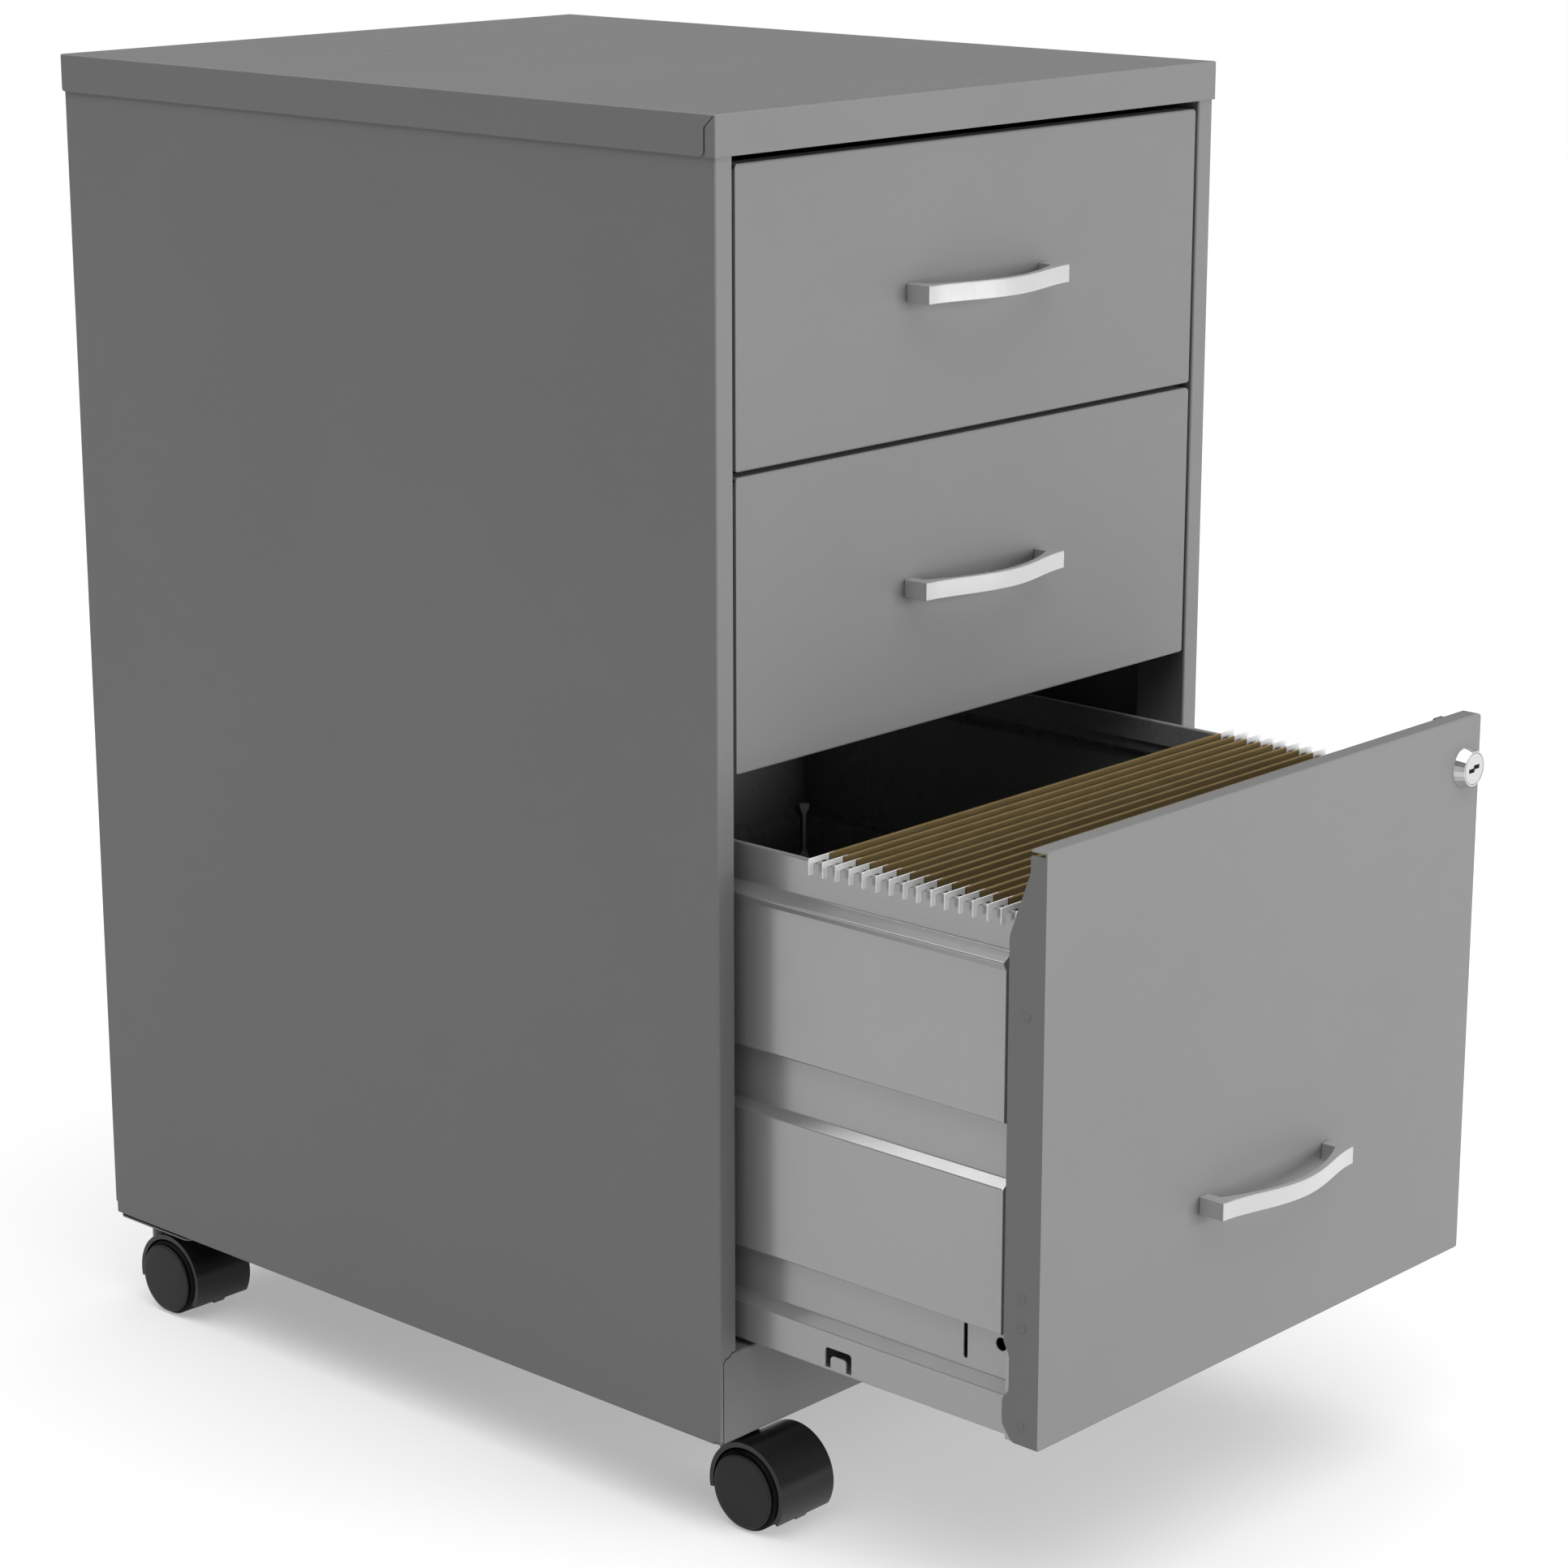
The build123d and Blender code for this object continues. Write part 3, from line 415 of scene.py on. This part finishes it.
def new_piece(name, mesh, body, materials):
    """Links a finished mesh as a piece that rides on a body."""
    piece = bpy.data.objects.new(name, mesh)
    bpy.context.scene.collection.objects.link(piece)
    for material in materials:
        piece.data.materials.append(material)
    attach(piece, body)
    return piece


def shade_smooth(piece):
    for polygon in piece.data.polygons:
        polygon.use_smooth = True


def round_edges(piece, width, segments=2, angle=35):
    """Rounds the folds and cut edges that turn by more than an angle in degrees, and keeps flats flat."""
    shade_smooth(piece)
    bevel = piece.modifiers.new("edges", "BEVEL")
    bevel.width = width
    bevel.segments = segments
    bevel.limit_method = "ANGLE"
    bevel.angle_limit = math.radians(angle)
    bevel.miter_outer = "MITER_ARC"
    piece.modifiers.new("flats", "WEIGHTED_NORMAL").keep_sharp = True


def finished_sheet(node, body, materials, width=0.3 * MM, choose=None, angle=35):
    """Stands for a CAD sheet part, with rounded edges. choose gives a face's material index by its normal."""
    mesh = joined_copy(node)
    piece = new_piece(f"{node}_sheet", mesh, body, materials)
    if choose:
        for polygon in mesh.polygons:
            polygon.material_index = choose(polygon.normal)
    round_edges(piece, width, angle=angle)
    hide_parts(node)
    return piece


def carcass_pieces():
    """The painted panels and the plain rails between them."""
    panels = ["lid", "side_panel_left", "side_panel_right", "back_panel", "kick_plate", "rear_caster_channel"]
    for node in panels:
        finished_sheet(node, "carcass", [CABINET])
    rails = ["front_caster_channel", "cross_rail"]
    rails += [f"slide_rail_{drawer}_{side}" for drawer in DRAWERS for side in SIDES]
    for node in rails:
        finished_sheet(node, "carcass", [RAIL])


def bow(place):
    """How far a handle has swelled at a place along it, from 0 at the ends (-1 and 1) to 1 in the middle."""
    return (1 - place ** 2) ** 2


def bow_handle(drawer):
    """The pull: a flat bar on two legs that swells forwards in the middle."""
    low, high = corners_of(f"{drawer}_handle")
    half, proud = (high.x - low.x) / 2, high.y - low.y
    middle_x, face = (high.x + low.x) / 2, high.y
    end_depth, bar, leg = 14.0 * MM, 3.2 * MM, 6.3 * MM
    corner_fill, fill_power = 3.7 * MM, 4.6
    inner_half = half - leg
    steps = 64
    front, back = [], []
    for i in range(steps + 1):
        place = 2 * i / steps - 1
        depth = end_depth + (proud - end_depth) * bow(place)
        front.append((middle_x + half * place, face - depth))
        inner_x = inner_half * place
        depth = end_depth + (proud - end_depth) * bow(inner_x / half)
        thick = bar + corner_fill * abs(place) ** fill_power
        back.append((middle_x + inner_x, face - depth + thick))
    ends_right = [(middle_x + half, face), (middle_x + inner_half, face)]
    ends_left = [(middle_x - inner_half, face), (middle_x - half, face)]
    mesh = extruded(front + ends_right + back[::-1] + ends_left, low.z, high.z)
    piece = new_piece(f"{drawer}_pull", mesh, f"{drawer}_drawer", [PULL])
    round_edges(piece, 0.45 * MM, segments=3, angle=40)
    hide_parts(f"{drawer}_handle")


def lengthen_bottom_band(mesh):
    """Lets the wall's bottom band run on behind the front's flange."""
    front = corners_of("file_front")[0]
    band_end, band_top, band_x = front.y + 26.3 * MM, front.z + 20 * MM, 158 * MM
    reach, longer = 1.2 * MM, 5.5 * MM
    for vertex in mesh.vertices:
        if abs(vertex.co.x) > band_x and vertex.co.z < band_top and abs(vertex.co.y - band_end) < reach:
            vertex.co.y -= longer


def faces_inwards(normal):
    """The second material, the painted interior shading, for the faces of a front that look into the cabinet.
    """
    return 1 if normal.y > 0.5 else 0


def wall_inside(sign):
    """The second material, painted interior shading, for a wall's faces that don't look out, to -X or +X by
    the sign.
    """
    return lambda normal: 0 if normal.x * sign > 0.05 else 1


def drawer_pieces():
    """Fronts, rear walls, pulls and sheet bodies."""
    for drawer in DRAWERS:
        body = f"{drawer}_drawer"
        finished_sheet(f"{drawer}_front", body, [CABINET, INTERIOR_SHADING], 0.35 * MM, faces_inwards)
        finished_sheet(f"{drawer}_back", body, [INTERIOR_SHADING])
        bow_handle(drawer)
    for drawer in ("top", "middle"):
        finished_sheet(f"{drawer}_tub", f"{drawer}_drawer", [DRAWER])
    for side, sign in (("left", -1), ("right", 1)):
        wall = finished_sheet(
            f"file_wall_{side}",
            "file_drawer",
            [DRAWER, INTERIOR_SHADING],
            width=0.45 * MM,
            choose=wall_inside(sign),
            angle=12,
        )
        lengthen_bottom_band(wall.data)
    finished_sheet("file_bottom", "file_drawer", [INTERIOR_SHADING])


def spot_welds():
    """The faint round marks of the welds on the file front's side flanges."""
    low, high = corners_of("file_front")
    behind, levels = 9.9, (297.7, 167.2, 153.0, 106.6)
    raised_edge = [(2.35, -0.2), (2.35, 0.05), (2.25, 0.24), (2.0, 0.34), (1.75, 0.24), (1.6, 0.08)]
    section = raised_edge + [(0.9, 0.1), (0.3, 0.11)]
    profile = [(radius * MM, height * MM) for radius, height in section]
    marks = []
    for face_x, axis in ((low.x, (-1, 0, 0)), (high.x, (1, 0, 0))):
        for level in levels:
            marks.append(spun(profile, (face_x, low.y + behind * MM, level * MM), axis, segments=32))
    mesh = joined(marks, "spot_welds")
    shade_smooth(new_piece("file_front_spot_welds", mesh, "file_drawer", [CABINET]))


def lock_rim():
    """The fine raised line round the lock's face, in darker metal that is painted shade for the groove's dark
    line.
    """
    low, high = corners_of("lock_housing")
    centre = ((low.x + high.x) / 2, low.y, (low.z + high.z) / 2)
    section = [(7.95, -0.2), (7.95, 0.05), (7.85, 0.12), (7.75, 0.12), (7.6, 0.05), (7.6, -0.2)]
    profile = [(radius * MM, height * MM) for radius, height in section]
    mesh = ring(profile, centre, (0, -1, 0), segments=64)
    shade_smooth(new_piece("lock_rim", mesh, "file_drawer", [LOCK_RIM_SHADE]))


def keyway_painted_shade():
    """A black insert just inside the lock's stepped keyway: painted shade that makes the keyway read dark."""
    low, high = corners_of("lock_plug")
    x, z = (low.x + high.x) / 2, (low.z + high.z) / 2
    half_length, half_height, step = 4.3 * MM, 1.65 * MM, 0.3 * MM
    sunk, thick = 0.35 * MM, 0.6 * MM
    half_turn = [(half_length, -step), (half_length, half_height), (-step, half_height), (-step, step)]
    outline = half_turn + [(-x_out, -z_out) for x_out, z_out in half_turn]
    mesh = upright(extruded(outline, 0.0, thick), (x, low.y + sunk, z))
    # The black wheel plastic here is painted shade standing in for the shadow inside the keyway.
    piece = new_piece("keyway_painted_shade", mesh, "lock_barrel", [WHEEL])
    round_edges(piece, 0.1 * MM)


def corner_seam_highlight():
    """The bead where the file drawer's right wall meets its rear wall, flared at both ends; its near-white
    paint is a painted highlight for the lit inner corner.
    """
    low, high = corners_of("file_back")
    x, y = high.x - 5.4 * MM, low.y
    foot, head = 216, 250
    neck, mouth, slim, flared, wide = 7, 3, 1.5, 3.6, 4.2
    lower_end = [(foot, wide), (foot + mouth, flared), (foot + neck, slim)]
    upper_end = [(head - neck, slim), (head - mouth, flared), (head, wide)]
    bulge = 0.55
    verts, faces = [], []
    levels = lower_end + upper_end
    for level, width in levels:
        w, z = width * MM, level * MM
        verts += [(x, y, z), (x - w, y, z), (x - bulge * w, y - bulge * w, z), (x, y - w, z)]
    for i in range(len(levels) - 1):
        for j in range(4):
            a, b = 4 * i + j, 4 * i + (j + 1) % 4
            faces.append((a, b, b + 4, a + 4))
    last = 4 * (len(levels) - 1)
    faces += [(3, 2, 1, 0), (last, last + 1, last + 2, last + 3)]
    mesh = solid("corner_seam_highlight", verts, faces)
    piece = new_piece("file_corner_seam_highlight", mesh, "file_drawer", [CORNER_HIGHLIGHT])
    round_edges(piece, 0.2 * MM)


# ---- hanging files --------------------------------------------------------------------
CARD_THICKNESS = 0.4 * MM
FALL_STEPS = (0.2, 0.4, 0.6, 0.75, 0.88, 0.96, 1.0)
CORNER_STEPS = 4


def sheet_path(rod, inward, bottom, top, fold_y):
    """A folder's half, as (y, z) points: up from its fold, over its rod, and down again as a short hem."""
    shoulder, hem = top - 2 * MM, top - 9 * MM
    corner, wide = 0.25 * MM, 1.1 * MM
    path = [(fold_y, bottom)]
    path += [(fold_y + (rod - fold_y) * t, bottom + (shoulder - bottom) * t) for t in FALL_STEPS]
    for across, turn in ((corner, 0), (wide - corner, 90)):
        for step in range(CORNER_STEPS + 1):
            angle = math.radians(turn + 90 * step / CORNER_STEPS)
            y = across - corner * math.cos(angle)
            path.append((rod + inward * y, top + CARD_THICKNESS / 2 - corner + corner * math.sin(angle)))
    path.append((rod + inward * wide, shoulder))
    path.append((rod + inward * wide, hem))
    return path


def folded_sheet(path, half, outer, chooser):
    """A card that follows a path of (y, z) across the drawer, with a faint wave along its middle."""
    points = [Vector(point) for point in path]
    offset_points = []
    for i, point in enumerate(points):
        run = (points[min(i + 1, len(points) - 1)] - points[max(i - 1, 0)]).normalized()
        offset_points.append(point + Vector((-run.y, run.x)) * CARD_THICKNESS * -outer)
    outline = points + offset_points[::-1]
    columns = 24
    wave, phase, bends = chooser.uniform(0.2, 0.7) * MM, chooser.uniform(0, 6), 5
    high = max(point.y for point in points)
    depth = high - min(point.y for point in points)
    verts, faces = [], []
    for column in range(columns + 1):
        x = half * (2 * column / columns - 1)
        for point in outline:
            fall = min(1.0, (high - point.y) / depth * 2)
            sway = wave * math.sin(phase + bends * column / columns) * fall * (1 - (x / half) ** 2)
            verts.append((x, point.x + sway, point.y))
    count = len(outline)
    for column in range(columns):
        for i in range(count):
            a, b = column * count + i, column * count + (i + 1) % count
            faces.append((a, b, b + count, a + count))
    n = len(points)
    for base in (0, columns * count):
        faces += [(base + i, base + i + 1, base + count - 2 - i, base + count - 1 - i) for i in range(n - 1)]
    return solid("sheet", verts, faces)


def hanging_folders():
    """Sixteen card sheets, each with its top edge folded over its rod, and their hooks."""
    chooser = random.Random(7)
    low, high = corners_of("folder_cards")
    count, pitch, mouth = 8, 16.05 * MM, 9.5 * MM
    first = high.y - CARD_THICKNESS
    sheets, rods = [], []
    for i in range(count):
        for side, inward in ((0, -1), (1, 1)):
            rod = first - i * pitch - side * mouth
            path = sheet_path(rod, inward, low.z, high.z, fold_y=rod + inward * mouth / 2)
            sheets.append(folded_sheet(path, high.x, -inward, chooser))
            rods.append(rod)
    mesh = joined(sheets, "folder_sheets")
    piece = new_piece("folder_sheets", mesh, "hanging_files", [CARD])
    shade_smooth(piece)
    piece.modifiers.new("flats", "WEIGHTED_NORMAL")
    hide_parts("folder_cards")
    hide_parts("folder_rods")
    rail_hooks(high.x, rods)


def rail_hooks(half, rods):
    """Thin coated hooks: a flat arm from each end of a rod over the drawer's rail, with a short tab down."""
    low, high = corners_of("folder_hooks")
    reach, top, foot = high.x, high.z, low.z
    arm, tab, root, thick, apart = 2.7 * MM, 2.9 * MM, 4.5 * MM, 0.35 * MM, 0.6 * MM
    outline = [
        (half - 4 * MM, top),
        (half - 4 * MM, top - root),
        (half + 1 * MM, top - root),
        (half + 2.5 * MM, top - arm),
        (reach - tab, top - arm),
        (reach - tab, foot + 0.3 * MM),
        (reach - tab + 0.3 * MM, foot),
        (reach - 0.5 * MM, foot),
        (reach, foot + 0.5 * MM),
        (reach, top - 0.6 * MM),
        (reach - 0.6 * MM, top),
    ]
    plates = []
    for i, rod in enumerate(rods):
        y = rod + (apart if i % 2 else -apart)
        for sign in (-1, 1):
            plate = extruded([(sign * x, z) for x, z in outline], -thick, thick)
            plates.append(upright(plate, (0, y, 0)))
    piece = new_piece("rail_hooks", joined(plates, "rail_hooks"), "hanging_files", [HOOK])
    round_edges(piece, 0.12 * MM)
    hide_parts("folder_hooks")


# ---- casters and small parts ----------------------------------------------------------
def wheel_caps():
    """The slightly domed disc on the outer face of each caster wheel."""
    rim, sunk, wall, chamfer, dome = 1.7, -0.4, 0.1, 0.25, 0.5
    for place in CASTERS:
        low, high = corners_of(f"caster_wheels_{place}")
        radius = (high.z - low.z) / 2 - rim * MM
        edge = wall + chamfer
        profile = [(radius, sunk * MM), (radius, wall * MM), (radius - chamfer * MM, edge * MM)]
        for part in (0.9, 0.75, 0.6, 0.45, 0.3, 0.15, 0.03):
            profile.append((radius * part, (edge + dome * (1 - part * part)) * MM))
        middle = (low + high) / 2
        caps = [
            spun(profile, (low.x, middle.y, middle.z), (-1, 0, 0), segments=72),
            spun(profile, (high.x, middle.y, middle.z), (1, 0, 0), segments=72),
        ]
        mesh = joined(caps, "wheel_caps")
        shade_smooth(new_piece(f"wheel_caps_{place}", mesh, f"caster_wheel_{place}", [CAP]))


def small_nodes():
    """CAD nodes that keep their own shape."""
    finishes = {
        "rail_glides": NYLON,
        "carcass_rivets": FASTENER,
        "caster_sockets": FASTENER,
        "lock_housing": LOCK,
        "lock_plug": LOCK,
        "lock_nut": FASTENER,
        "bolt_guide": RAIL,
        "lock_cam": LOCK,
        "lock_bolt": FASTENER,
    }
    for drawer in DRAWERS:
        finishes[f"{drawer}_glides"] = NYLON
        finishes[f"{drawer}_handle_screws"] = FASTENER
    for place in CASTERS:
        finishes[f"caster_hood_{place}"] = HOOD
        finishes[f"caster_pins_{place}"] = FASTENER
        finishes[f"caster_wheels_{place}"] = WHEEL
    for node, material in finishes.items():
        NODES[node].data.materials.clear()
        NODES[node].data.materials.append(material)


make_camera()
make_studio()
carcass_pieces()
drawer_pieces()
spot_welds()
lock_rim()
keyway_painted_shade()
corner_seam_highlight()
hanging_folders()
wheel_caps()
small_nodes()
